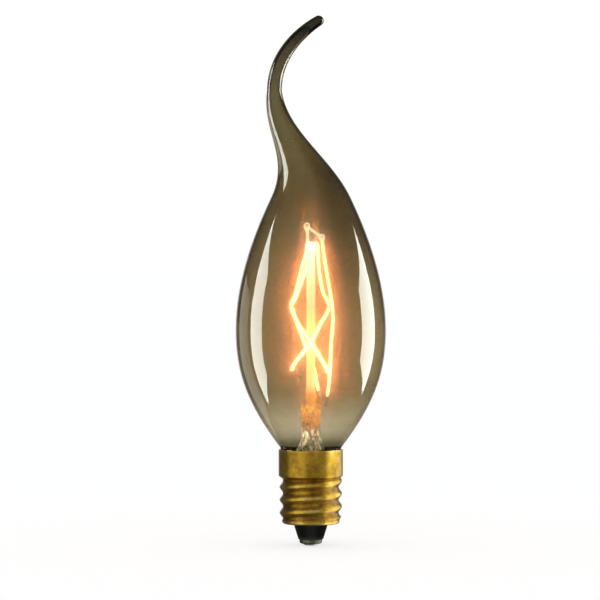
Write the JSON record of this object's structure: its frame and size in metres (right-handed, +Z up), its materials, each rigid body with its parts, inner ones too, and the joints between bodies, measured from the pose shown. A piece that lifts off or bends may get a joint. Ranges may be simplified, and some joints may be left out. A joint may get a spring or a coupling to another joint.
{
  "type": "filament bulb",
  "caption": "Flame-shaped smoky glass filament bulb with a drawn, curling tail, a strung filament cage and a small brass screw cap.",
  "frame": {"origin": "middle of the centre contact's lowest face, on the cap's axis", "axes": "+Z up the cap's axis towards the glass tail; the tail bends in the XZ plane, leans to -X and its tip turns back to +X; -Y is the pictured front"},
  "size_m": [0.0332, 0.0332, 0.1165],
  "materials": {
    "smoky_glass": "clear smoky brown-olive, glossy",
    "aged_brass": "tarnished, soft shine",
    "black_glass": "opaque black, glossy",
    "contact_metal": "dull",
    "solder": "soft tin-lead, satin",
    "cement": "matt",
    "clear_glass": "clear, glossy",
    "lit_glass": "clear, lit from all round by the filament",
    "support_wire": "dark drawn wire",
    "glowing_filament": "glowing yellow-white",
    "nickel": "nickel, satin",
    "seal_wire": "copper-clad, red-brown in the glass",
    "tinned_copper": "tinned"
  },
  "bodies": {
    "root": {"glass_envelope": "smoky_glass", "screw_shell": "aged_brass", "shell_insulator": "black_glass", "centre_contact": "contact_metal", "contact_solder": "solder", "shell_solder": "solder", "capping_cement": "cement", "stem_flare": "clear_glass", "exhaust_tube": "clear_glass", "arbor_rod": "lit_glass", "upper_support_left": "support_wire", "upper_support_right": "support_wire", "top_hook": "support_wire", "middle_support_1": "support_wire", "middle_support_2": "support_wire", "middle_support_3": "support_wire", "middle_support_4": "support_wire", "centre_hook": "support_wire", "lower_support_left": "support_wire", "lower_support_right": "support_wire", "filament": "glowing_filament", "lead_clamp_front": "nickel", "lead_clamp_back": "nickel", "inner_lead_front": "nickel", "inner_lead_back": "nickel", "seal_wire_left": "seal_wire", "seal_wire_right": "seal_wire", "outer_lead_contact": "tinned_copper", "outer_lead_shell": "tinned_copper"}
  },
  "joints": []
}
